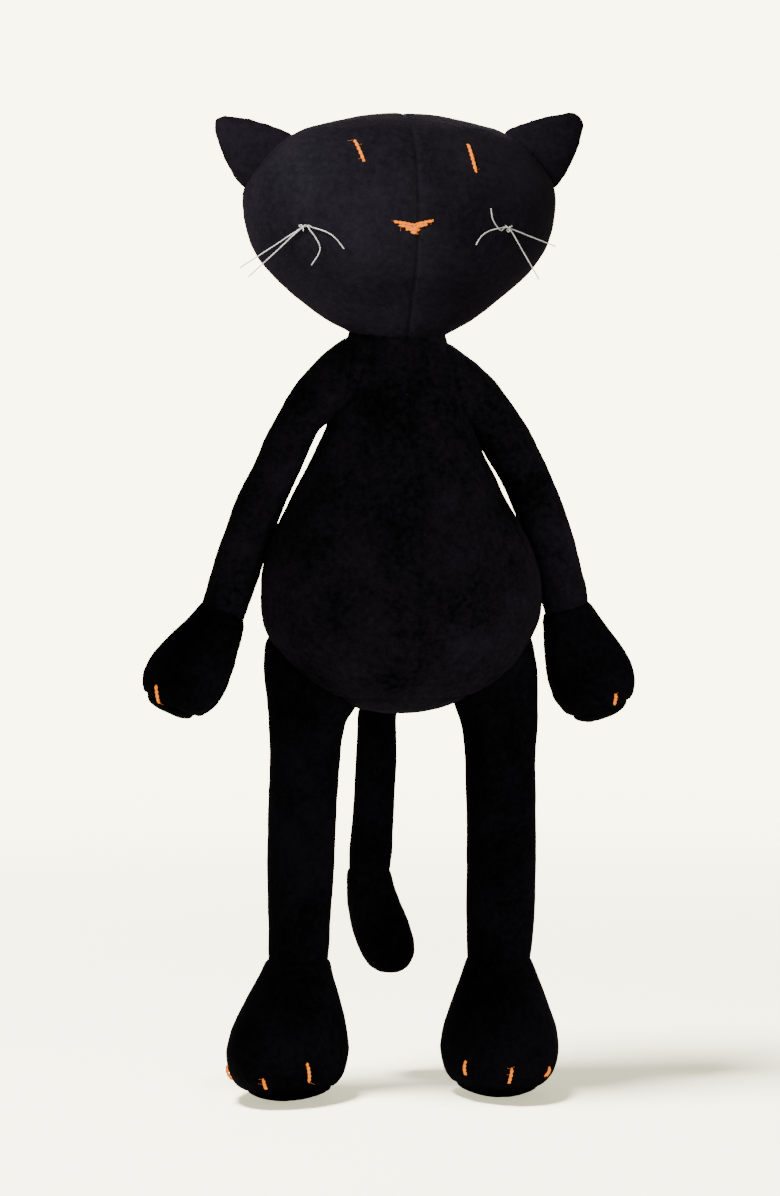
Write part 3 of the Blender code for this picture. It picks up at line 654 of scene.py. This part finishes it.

# %% [markdown]
# ## The arms
# Each arm is a long sleeve with a wide slanting root, sewn to the side of the chest from the neck down
# to the armpit, which gives the toy its sloping shoulders. It narrows quickly to a thin tube.

# %% Arms
ARM = {  # place of each ring, its half width, its lean from level in degrees, and its half depth
    "left": [
        ((-0.0180, 0.000, 0.3672), 0.0220, 77, 0.0160), ((-0.0316, 0.000, 0.3648), 0.0226, 79, 0.0165),
        ((-0.0412, 0.001, 0.3587), 0.0178, 90, 0.0150), ((-0.0482, 0.001, 0.3506), 0.0148, 106, 0.0136),
        ((-0.0538, 0.002, 0.3404), 0.0131, 121, 0.0125), ((-0.0592, 0.003, 0.3296), 0.0121, 138, 0.0118),
        ((-0.0645, 0.004, 0.3180), 0.0114, 153, 0.0115), ((-0.0715, 0.005, 0.3030), 0.0121, 159, 0.0116),
        ((-0.0765, 0.006, 0.2900), 0.0121, 160, 0.0116), ((-0.0812, 0.007, 0.2765), 0.0122, 161, 0.0117),
        ((-0.0856, 0.008, 0.2620), 0.0122, 162, 0.0118), ((-0.0894, 0.009, 0.2510), 0.0116, 160, 0.0116),
        ((-0.0922, 0.009, 0.2430), 0.0112, 158, 0.0112), ((-0.0936, 0.009, 0.2390), 0.0090, 158, 0.0090)],
    "right": [
        ((0.0120, 0.000, 0.3665), 0.0215, 103, 0.0160), ((0.0258, 0.000, 0.3630), 0.0213, 101, 0.0165),
        ((0.0354, 0.001, 0.3568), 0.0178, 90, 0.0150), ((0.0424, 0.001, 0.3487), 0.0162, 74, 0.0138),
        ((0.0492, 0.002, 0.3392), 0.0144, 59, 0.0127), ((0.0558, 0.003, 0.3292), 0.0132, 42, 0.0120),
        ((0.0622, 0.004, 0.3178), 0.0123, 27, 0.0118), ((0.0689, 0.005, 0.3030), 0.0123, 21, 0.0118),
        ((0.0741, 0.006, 0.2900), 0.0123, 19, 0.0118), ((0.0785, 0.007, 0.2765), 0.0123, 17, 0.0118),
        ((0.0822, 0.008, 0.2620), 0.0122, 16, 0.0118), ((0.0853, 0.009, 0.2510), 0.0120, 16, 0.0116),
        ((0.0872, 0.009, 0.2430), 0.0112, 16, 0.0112), ((0.0884, 0.009, 0.2390), 0.0090, 16, 0.0090)]}


def make_arm(word, side):
    rings = [tape(place, wide, deep, lean=math.radians(lean)) for place, wide, lean, deep in ARM[word]]
    cover = closed_form(f"arm_{word}_cover", rings, 32)
    core = stuffed(cover, 0.0030, nowhere, 0.0010, 0.0004)
    root = ARM[word][1][0]
    slant = Vector((side * 0.975, 0, 0.22))

    def back_seam(place):
        return abs(place.x - (root[0] + side * 0.44 * max(0.0, root[2] - place.z))) if place.y > 0.004 else 1.0

    def root_seam(place):
        return abs((place - Vector(root)).dot(slant) + 0.001)

    press_seam(cover, back_seam, 0.0006)
    press_seam(cover, root_seam, 0.0009)
    start = TOY + Vector(root) + slant * 0.001
    finish_cover(cover, core, [f"arm_{word}_sleeve"], [f"arm_{word}_stuffing"],
                 ("torso", f"arm_{word}", start, start + slant * 0.010), cloth=body_velour)


for word, side in SIDES.items():
    make_arm(word, side)

# %% [markdown]
# ## The legs
# Straight firm tubes. Their tops run up behind the belly's lower edge and are sewn to it there, wider
# than the tube below.

# %% Legs
LEG = {  # height, outer edge and inner edge across, middle from front to back, half depth
    "left": [
        (0.2385, -0.0655, -0.0330, 0.006, 0.0150), (0.2310, -0.0692, -0.0300, 0.006, 0.0180),
        (0.2180, -0.0702, -0.0260, 0.006, 0.0200), (0.2060, -0.0691, -0.0226, 0.005, 0.0200),
        (0.1985, -0.0685, -0.0229, 0.004, 0.0192), (0.1920, -0.0680, -0.0284, 0.004, 0.0186),
        (0.1780, -0.0676, -0.0313, 0.003, 0.0180), (0.1600, -0.0679, -0.0325, 0.003, 0.0175),
        (0.1380, -0.0686, -0.0338, 0.002, 0.0172), (0.1150, -0.0690, -0.0351, 0.001, 0.0168),
        (0.0950, -0.0686, -0.0366, 0.001, 0.0160), (0.0800, -0.0685, -0.0375, 0.000, 0.0155),
        (0.0700, -0.0686, -0.0382, 0.000, 0.0153), (0.0620, -0.0680, -0.0388, 0.000, 0.0147),
        (0.0580, -0.0660, -0.0408, 0.000, 0.0125)],
    "right": [
        (0.2370, 0.0645, 0.0320, 0.006, 0.0150), (0.2300, 0.0684, 0.0300, 0.006, 0.0180),
        (0.2180, 0.0700, 0.0280, 0.006, 0.0200), (0.2060, 0.0704, 0.0270, 0.005, 0.0200),
        (0.1980, 0.0702, 0.0276, 0.004, 0.0192), (0.1915, 0.0700, 0.0302, 0.004, 0.0186),
        (0.1780, 0.0693, 0.0324, 0.003, 0.0180), (0.1600, 0.0687, 0.0333, 0.003, 0.0175),
        (0.1380, 0.0692, 0.0335, 0.002, 0.0174), (0.1150, 0.0690, 0.0335, 0.001, 0.0174),
        (0.0950, 0.0686, 0.0333, 0.001, 0.0170), (0.0800, 0.0676, 0.0333, 0.000, 0.0164),
        (0.0700, 0.0662, 0.0336, 0.000, 0.0158), (0.0620, 0.0652, 0.0344, 0.000, 0.0152),
        (0.0580, 0.0632, 0.0364, 0.000, 0.0130)]}


def make_leg(word, side):
    rings = [tape(((outer + inner) / 2, middle, z), abs(outer - inner) / 2, deep)
             for z, outer, inner, middle, deep in LEG[word]]
    cover = closed_form(f"leg_{word}_cover", rings, 36)
    core = stuffed(cover, 0.0032, nowhere, 0.0010, 0.0004)

    def back_seam(place):
        return abs(place.x - side * 0.0510) if place.y > 0.002 else 1.0

    press_seam(cover, back_seam, 0.0007)
    hip = joints[f"hip_{word}"]
    top = Vector((hip.x, hip.y, 0.2260))
    finish_cover(cover, core, [f"leg_{word}_sleeve"], [f"leg_{word}_stuffing"],
                 ("torso", f"leg_{word}", top, Vector((hip.x, hip.y, 0.1680))))


for word, side in SIDES.items():
    make_leg(word, side)

# %% [markdown]
# ## Feet and hands
# A foot is a heavy pear-shaped bag with a small flat sole panel, turned out at its own angle. A hand is
# a smaller mitt, turned so that its flat side faces the body, with a sole panel near its lower edge.
# One recipe makes all four: rings below the joint, placed by the joint's lean and turn.

# %% Feet and hands
FOOT = [  # level under the ankle, half width, reach to the front and to the back
    (-0.0690, 0.0112, 0.0190, 0.0120), (-0.0674, 0.0168, 0.0260, 0.0146), (-0.0645, 0.0218, 0.0334, 0.0170),
    (-0.0590, 0.0264, 0.0432, 0.0201), (-0.0530, 0.0287, 0.0482, 0.0221), (-0.0440, 0.0300, 0.0497, 0.0231),
    (-0.0340, 0.0283, 0.0464, 0.0226), (-0.0220, 0.0244, 0.0356, 0.0211), (-0.0110, 0.0203, 0.0250, 0.0193),
    (-0.0040, 0.0177, 0.0186, 0.0176), (0.0000, 0.0167, 0.0172, 0.0166), (0.0022, 0.0156, 0.0158, 0.0156)]
HAND = {  # the same, under each wrist
    "left": [
        (-0.0578, 0.0070, 0.0112, 0.0050), (-0.0562, 0.0112, 0.0162, 0.0088), (-0.0512, 0.0167, 0.0214, 0.0138),
        (-0.0436, 0.0198, 0.0240, 0.0176), (-0.0340, 0.0194, 0.0234, 0.0186), (-0.0230, 0.0168, 0.0200, 0.0176),
        (-0.0130, 0.0143, 0.0160, 0.0156), (-0.0050, 0.0130, 0.0130, 0.0139), (0.0000, 0.0124, 0.0124, 0.0129),
        (0.0022, 0.0116, 0.0116, 0.0116)],
    "right": [
        (-0.0590, 0.0070, 0.0095, 0.0068), (-0.0574, 0.0112, 0.0145, 0.0108), (-0.0520, 0.0167, 0.0209, 0.0158),
        (-0.0440, 0.0198, 0.0242, 0.0192), (-0.0340, 0.0194, 0.0240, 0.0198), (-0.0230, 0.0168, 0.0208, 0.0184),
        (-0.0130, 0.0143, 0.0168, 0.0163), (-0.0050, 0.0130, 0.0140, 0.0145), (0.0000, 0.0124, 0.0127, 0.0132),
        (0.0022, 0.0116, 0.0116, 0.0116)]}
FOOT_TURN = {"left": -30, "right": 4}  # degrees, as the two below
HAND_TURN = {"left": -115, "right": 88}
HAND_LEAN = {"left": 25.8, "right": -16.2}
DRIFT = {("foot", "left"): -0.0034, ("foot", "right"): -0.0018}  # how far the lowest level stands to one side
SWAY = {("foot", "left"): -0.0010, ("foot", "right"): 0.0008}  # how far its middle bows to one side
FOOT_SEAM, HAND_SEAM = -0.0640, -0.0545


def mitt_place(kind, word):
    """How a foot or a hand stands: its joint, then its lean, then its turn."""
    if kind == "foot":
        return Matrix.Translation(joints[f"ankle_{word}"]) @ Matrix.Rotation(math.radians(FOOT_TURN[word]), 4, "Z")
    lean = Matrix.Rotation(math.radians(HAND_LEAN[word]), 4, "Y")
    return Matrix.Translation(joints[f"wrist_{word}"]) @ lean @ Matrix.Rotation(math.radians(HAND_TURN[word]), 4, "Z")


def make_mitt(kind, word, above, levels, seam_level):
    place = mitt_place(kind, word)
    back = place.inverted()
    drift = DRIFT.get((kind, word), 0.0) / levels[0][0]
    sway = SWAY.get((kind, word), 0.0)
    rings = []
    for z, wide, front, behind in levels:
        share = min(1.0, max(0.0, z / levels[0][0]))
        rings.append(tape((z * drift + sway * math.sin(math.pi * share), 0, z), wide, front, behind))
    cover = closed_form(f"{kind}_{word}_cover", rings, 36, place)

    def sole_seam(point):
        return abs((back @ (point + TOY)).z - seam_level)

    def instep_seam(point):
        own = back @ (point + TOY)
        return abs(own.x) if own.y > 0 and own.z > seam_level else 1.0

    core = stuffed(cover, 0.0030, sole_seam, 0.0012, 0.0003)
    press_seam(cover, sole_seam, 0.0010)
    press_seam(cover, instep_seam, 0.0006)
    if kind == "foot":
        for vert in cover.data.vertices:
            vert.co.z = max(vert.co.z, 0.0001)
    down = place.to_3x3() @ Vector((0, 0, -1))
    start = place.translation - down * 0.001
    finish_cover(cover, core, [f"{kind}_{word}_top", f"{kind}_{word}_sole"], [f"{kind}_{word}_stuffing"],
                 (above, f"{kind}_{word}", start, start + down * 0.013))
    return cover


mitts = {}
for word in SIDES:
    mitts["foot", word] = make_mitt("foot", word, f"leg_{word}", FOOT, FOOT_SEAM)
    mitts["hand", word] = make_mitt("hand", word, f"arm_{word}", HAND[word], HAND_SEAM)

# %% [markdown]
# ## The tail
# A thin tube hangs from the back of the torso and ends in a fuller drop, sewn on across a seam.

# %% Tail
TAIL = [  # place of each ring and its radius
    ((-0.0010, 0.0400, 0.2250), 0.0080), ((-0.0020, 0.0460, 0.2200), 0.0095), ((-0.0030, 0.0495, 0.2110), 0.0098),
    ((-0.0046, 0.0510, 0.2000), 0.0099), ((-0.0058, 0.0515, 0.1890), 0.0099), ((-0.0065, 0.0515, 0.1640), 0.0107),
    ((-0.0077, 0.0515, 0.1400), 0.0107), ((-0.0092, 0.0510, 0.1200), 0.0111), ((-0.0102, 0.0505, 0.1080), 0.0107),
    ((-0.0098, 0.0505, 0.1010), 0.0090)]
TAIL_DROP = [
    ((-0.0102, 0.0505, 0.1112), 0.0107), ((-0.0104, 0.0505, 0.1080), 0.0114), ((-0.0096, 0.0505, 0.1000), 0.0124),
    ((-0.0075, 0.0505, 0.0900), 0.0140), ((-0.0046, 0.0505, 0.0810), 0.0152), ((-0.0020, 0.0505, 0.0720), 0.0153),
    ((-0.0004, 0.0505, 0.0644), 0.0138), ((0.0003, 0.0505, 0.0586), 0.0104), ((0.0006, 0.0505, 0.0553), 0.0056)]


def make_tail():
    swing, bend = joints["tail_swing"], joints["tail_tip_bend"]
    for name, table, nodes, blend in (
            ("tail", TAIL, ["tail_sleeve"], ("torso", "tail", swing + Vector((0, 0, 0.004)), swing - UP * 0.012)),
            ("tail_drop", TAIL_DROP, ["tail_tip_cover"], ("tail", "tail_tip", bend + UP * 0.001, bend - UP * 0.012))):
        cover = closed_form(f"{name}_cover", [tape(place, radius, radius) for place, radius in table], 28)
        core = stuffed(cover, 0.0028, nowhere, 0.0010, 0.0003)
        press_seam(cover, lambda place: abs(place.x + 0.007) if place.y > 0.052 else 1.0, 0.0006)
        finish_cover(cover, core, nodes, [f"{blend[1]}_stuffing"], blend)


make_tail()

# %% [markdown]
# ## The ears
# An ear is two small triangles sewn together, barely filled, and caught in the head's side seam. Rings
# run from inside the head to the rounded tip.

# %% Ears
EAR = [  # outer edge, inner edge and half depth, from inside the head to the tip: across and height
    ((0.0700, 0.4565), (0.0488, 0.4806), 0.0060), ((0.0803, 0.4606), (0.0546, 0.4896), 0.0070),
    ((0.0851, 0.4669), (0.0627, 0.4927), 0.0066), ((0.0886, 0.4732), (0.0707, 0.4953), 0.0058),
    ((0.0915, 0.4803), (0.0786, 0.4971), 0.0048), ((0.0935, 0.4869), (0.0851, 0.4981), 0.0038),
    ((0.0946, 0.4915), (0.0890, 0.4984), 0.0028), ((0.0945, 0.4947), (0.0914, 0.4977), 0.0017)]


def make_ear(word, side):
    rings = []
    for (x1, z1), (x2, z2), deep in EAR:
        rise = 0.0013 if side > 0 else -0.0010
        outer, inner = Vector((side * x1, 0, z1)), Vector((side * x2, 0, z2 + rise))
        rings.append(((outer + inner) / 2, (outer - inner) / 2, Vector((0, -deep, 0)), Vector((0, deep, 0))))
    cover = closed_form(f"ear_{word}_cover", rings, 32, Matrix.Translation(TOY + Vector((HEAD_X, 0, 0))))
    core = stuffed(cover, 0.0022, nowhere, 0.0008, 0.0002)
    press_seam(cover, lambda place: abs(place.y), 0.0005, 0.0008, 0.0001)
    fold = joints[f"ear_{word}_fold"]
    out = Vector((side * 0.746, 0, 0.666))
    finish_cover(cover, core, [f"ear_{word}_front", f"ear_{word}_back"], [],
                 ("head", f"ear_{word}", fold - out * 0.004, fold + out * 0.008), cloth=ear_velour)


for word, side in SIDES.items():
    make_ear(word, side)

# %% [markdown]
# ## Yarn stitches
# Real yarn is two plies twisted round each other, with loose fibres standing off, and each stitch dives
# into the cloth at both ends. Each ply here is a curve that winds round the stitch's line, and a few
# hairs are laid by a seeded random choice, so that they come out the same every time.

# %% Twisted yarn
HAIR = 0.000035  # a loose fibre's radius
TWIST = 0.0042  # the length of yarn in which its plies turn once
skins = {}


def skin_of(cover):
    """The cover's surface, for finding where a needle would meet it."""
    if cover.name not in skins:
        skins[cover.name] = surface_of(cover)
    return skins[cover.name]


def on_skin(cover, place, way):
    """Where a line from outside, through place and along way, meets the cover, and which way is out."""
    hit, out, _, _ = skin_of(cover).ray_cast(place - way.normalized() * 0.2, way.normalized())
    return hit, out


def drawn(name, lines, finish):
    """Round strands along the lines, each with its own radius, as one mesh."""
    data = bpy.data.curves.new(name, "CURVE")
    data.dimensions, data.bevel_depth, data.bevel_resolution, data.use_fill_caps = "3D", 1.0, 2, True
    for line, thick in lines:
        spline = data.splines.new("POLY")
        spline.points.add(len(line) - 1)
        for index, (point, place) in enumerate(zip(spline.points, line)):
            tapered = thick(index / (len(line) - 1)) if callable(thick) else thick
            point.co, point.radius = (*place, 1), tapered
    made = bpy.data.objects.new(name, data)
    bpy.context.scene.collection.objects.link(made)
    alone(made)
    bpy.ops.object.convert(target="MESH")
    made = bpy.context.object
    made.data.materials.clear()
    made.data.materials.append(finish)
    for face in made.data.polygons:
        face.use_smooth = True
    return made


def between(line, share):
    """The place on a line of points, at a share of the way along."""
    at = share * (len(line) - 1)
    low = min(int(at), len(line) - 2)
    return line[low].lerp(line[low + 1], at - low)


def plies(line, out, radius, turns, start=0.0):
    """Two plies that wind round a line."""
    way = (line[-1] - line[0]).normalized()
    side = way.cross(out).normalized()
    made = []
    steps = max(24, int(turns * 14))
    for ply in range(2):
        wound = []
        for step in range(steps + 1):
            share = step / steps
            angle = start + math.pi * ply + 2 * math.pi * turns * share
            wound.append(between(line, share) + (side * math.cos(angle) + out * math.sin(angle)) * radius * 0.52)
        made.append((wound, lambda share: radius * 0.58 * (0.72 + 0.28 * math.sin(math.pi * share) ** 0.4)))
    return made


def hairs(line, out, number, reach, seed):
    """Loose fibres that leave the yarn and curl."""
    chance = random.Random(seed)
    made = []
    for _ in range(number):
        root = between(line, chance.choice((chance.uniform(0, 0.15), chance.uniform(0.85, 1), chance.random())))
        way = Vector((chance.uniform(-1, 1), chance.uniform(-0.4, 0.4), chance.uniform(-1, 1))).normalized()
        bend = way.cross(out).normalized() * chance.uniform(-0.5, 0.5)
        long = reach * chance.uniform(0.4, 1.0)
        curl = [root + way * long * s + bend * long * s * s + out * 0.0006 * (1 - s) for s in (0, 0.25, 0.5, 0.75, 1)]
        made.append((curl, HAIR))
    return made


def stitch(name, cover, start, end, aim, radius=0.0008, bow=0.0, body=None, seed=1, fuzz=5, node=None):
    """One stitch of yarn laid on a cover between two places, diving in at its ends."""
    line, ways = [], []
    cross = (end - start).normalized().cross(aim.normalized())
    for step in range(13):
        share = step / 12
        place = start.lerp(end, share) + cross * bow * math.sin(math.pi * share)
        hit, out = on_skin(cover, place, aim)
        lift = radius * (2.0 * math.sin(math.pi * share) ** 0.35 - 1.0) + 0.0001
        line.append(hit + out * lift)
        ways.append(out)
    out = sum(ways, Vector()).normalized()
    turns = max(2.0, (end - start).length / TWIST)
    made = drawn(name, plies(line, out, radius, turns, seed) + hairs(line, out, fuzz, 0.0034, seed), yarn)
    if node:
        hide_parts(node)
    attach(made, body)
    return made


# %% Eyes
def at_face(across, height):
    return TOY + Vector((HEAD_X + across, 0, joints["neck_turn"].z + height))


FACE = Vector((0, 1, 0))
EYES = {"left": ((-0.0277, 0.0996), (-0.0238, 0.0884), 0.0001), "right": ((0.0291, 0.0980), (0.0322, 0.0830), -0.0003)}
for number, (word, (top, low, bow)) in enumerate(EYES.items()):
    stitch(f"eye_yarn_{word}", head_cover, at_face(*top), at_face(*low), FACE, 0.00078, bow, "head", 11 + number, 6,
           f"eye_stitch_{word}")

# %% [markdown]
# ## The nose
# Six passes of the same yarn fill a small triangle. The two long ones slope down from the top corners
# to the middle, and shorter ones under them close the point.

# %% Nose
NOSE = [  # left end and right end of each pass: across and height
    ((-0.0099, 0.0590), (0.0004, 0.0573)), ((0.0101, 0.0596), (-0.0006, 0.0572)),
    ((-0.0074, 0.0573), (0.0006, 0.0556)), ((0.0068, 0.0577), (-0.0008, 0.0557)),
    ((-0.0040, 0.0553), (0.0030, 0.0549)), ((-0.0012, 0.0541), (0.0014, 0.0538))]
passes = []
for number, (left, right) in enumerate(NOSE):
    passes.append(stitch(f"nose_yarn_{number + 1}", head_cover, at_face(*left), at_face(*right), FACE, 0.00070,
                         0.0002 * (-1) ** number, "head", 30 + number, 3, "nose_stitch" if number == 0 else None))
print("nose passes:", len(passes))

# %% [markdown]
# ## Claws
# Three short stitches fan out over the front edge of each foot and hand. They ride on the foot or the
# hand itself.

# %% Claws
CLAWS = {  # either the upper and lower end, across and height, or a turn from the mitt's front and two levels
    ("foot", "left"): [(-45, -0.0490, -0.0570), ((-0.0762, 0.0162), (-0.0742, 0.0103)),
                       ((-0.0538, 0.0231), (-0.0524, 0.0122))],
    ("foot", "right"): [((0.0279, 0.0214), (0.0284, 0.0136)), ((0.0488, 0.0200), (0.0478, 0.0112)),
                        ((0.0696, 0.0182), (0.0672, 0.0134))],
    ("hand", "left"): [(-60, -0.0425, -0.0530), (-14, -0.0425, -0.0530), ((-0.1257, 0.2111), (-0.1238, 0.2012))],
    ("hand", "right"): [((0.1085, 0.2042), (0.1081, 0.1982)), (16, -0.0430, -0.0520), (60, -0.0425, -0.0525)]}
for (kind, word), rows in CLAWS.items():
    place, cover = mitt_place(kind, word), mitts[kind, word]
    for number, row in enumerate(rows):
        if len(row) == 2:
            inward, ends = FACE, [TOY + Vector((across, 0, height)) for across, height in row]
        else:
            out = Vector((math.sin(math.radians(row[0])), -math.cos(math.radians(row[0])), 0))
            inward = place.to_3x3() @ -out
            middle = Vector((0, -0.012 if kind == "foot" else -0.003, 0))
            ends = [place @ (middle + out * 0.02 + UP * level) for level in row[1:]]
        stitch(f"{kind}_{word}_claw_yarn_{number + 1}", cover, *ends, inward, 0.00078, 0.0002 * (number - 1),
               f"{kind}_{word}", 50 + number, 3, f"{kind}_{word}_claw_{number + 1}")

# %% [markdown]
# ## Whiskers
# Each cheek has two strands of stiff filament drawn through the cloth and tied in one small knot. One
# end of each runs straight out past the cheek, and the other curls in towards the nose. They are laid
# just above the cloth, and a bead of glue holds the knot.

# %% Whiskers
KNOT = {"left": (-0.0529, 0.0566), "right": (0.0484, 0.0562)}
STRANDS = {  # the outward run, then the bends of the inner end: across and height from the knot
    "left": [((0.0252, -0.0168), [(0.0048, -0.0002), (0.0118, -0.0024), (0.0162, -0.0053), (0.0200, -0.0096)]),
             ((0.0217, -0.0205), [(0.0038, -0.0015), (0.0082, -0.0078), (0.0085, -0.0116), (0.0060, -0.0166)])],
    "right": [((0.0217, -0.0077), [(0.0045, 0.0000), (0.0110, -0.0012), (0.0155, -0.0038), (0.0184, -0.0074)]),
              ((0.0137, -0.0213), [(0.0046, -0.0010), (0.0078, 0.0014), (0.0104, 0.0051), (0.0117, 0.0096)])]}
STRAND, TIED_STRAND = 0.00031, 0.00033  # radii


def smoothed(points, steps=6):
    """A rounded line through the points."""
    ends = [points[0] * 2 - points[1]] + points + [points[-1] * 2 - points[-2]]
    line = []
    for a, b, c, d in zip(ends, ends[1:], ends[2:], ends[3:]):
        for step in range(steps):
            t = step / steps
            slope, bend, twist = c - a, 2 * a - 5 * b + 4 * c - d, 3 * b - a - 3 * c + d
            line.append(0.5 * (2 * b + slope * t + bend * t * t + twist * t**3))
    return line + [points[-1]]


def make_whiskers(word, side):
    across, height = KNOT[word]
    hit, out = on_skin(head_cover, at_face(across, height), FACE)
    for number, (run, bends) in enumerate(STRANDS[word]):
        lift = 0.0010 + 0.0008 * number
        tied = hit + out * lift
        reach = Vector((side * run[0], 0.42 * run[0], run[1])) * 1.2
        line = [tied + reach, tied + reach * 0.5 + out * 0.0004, tied]
        for step, (inward, rise) in enumerate(bends):
            near, away = on_skin(head_cover, at_face(across - side * inward, height + rise), FACE)
            line.append(near + away * (lift + 0.0010 * (step + 1)))
        strand = drawn(f"whisker_{word}_strand_{number + 1}", [(smoothed(line), STRAND)], nylon)
        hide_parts(f"whisker_{word}_{number + 1}")
        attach(strand, "head")
    right = out.cross(UP).normalized()
    over = right.cross(out).normalized()
    loop = []
    for step in range(37):
        turn = 2 * math.pi * step / 36
        loop.append(hit + out * (0.0016 + 0.0007 * math.sin(3 * turn))
                    + right * 0.0011 * (math.sin(turn) + 0.9 * math.sin(2 * turn))
                    + over * 0.0010 * (math.cos(turn) - 0.9 * math.cos(2 * turn)))
    tie = drawn(f"whisker_{word}_knot", [(loop, TIED_STRAND)], nylon)
    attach(tie, "head")


for word, side in SIDES.items():
    make_whiskers(word, side)

# %% [markdown]
# ## What stays as it was
# The lacing thread round the neck has the right shape already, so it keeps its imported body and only
# gets its finish.

# %% Neck thread
lacing = frame["nodes"]["neck_thread"]
lacing.data.materials.clear()
lacing.data.materials.append(thread)

# %% [markdown]
# ## Two lamps kept to their parts
# The face lamp would brighten the shoulders and the belly lamp one side of the head, so each is linked
# to its own pieces.

# %% Lamp links
ON_THE_HEAD = ("head_cover", "ear_", "eye_", "nose_", "whisker_")
things = [thing for thing in bpy.data.objects if thing.type == "MESH" and thing.name != "floor"]
shine_only_on(face_lamp, [thing for thing in things if thing.name.startswith(ON_THE_HEAD)])
shine_only_on(belly_lamp, [thing for thing in things if not thing.name.startswith(ON_THE_HEAD)])
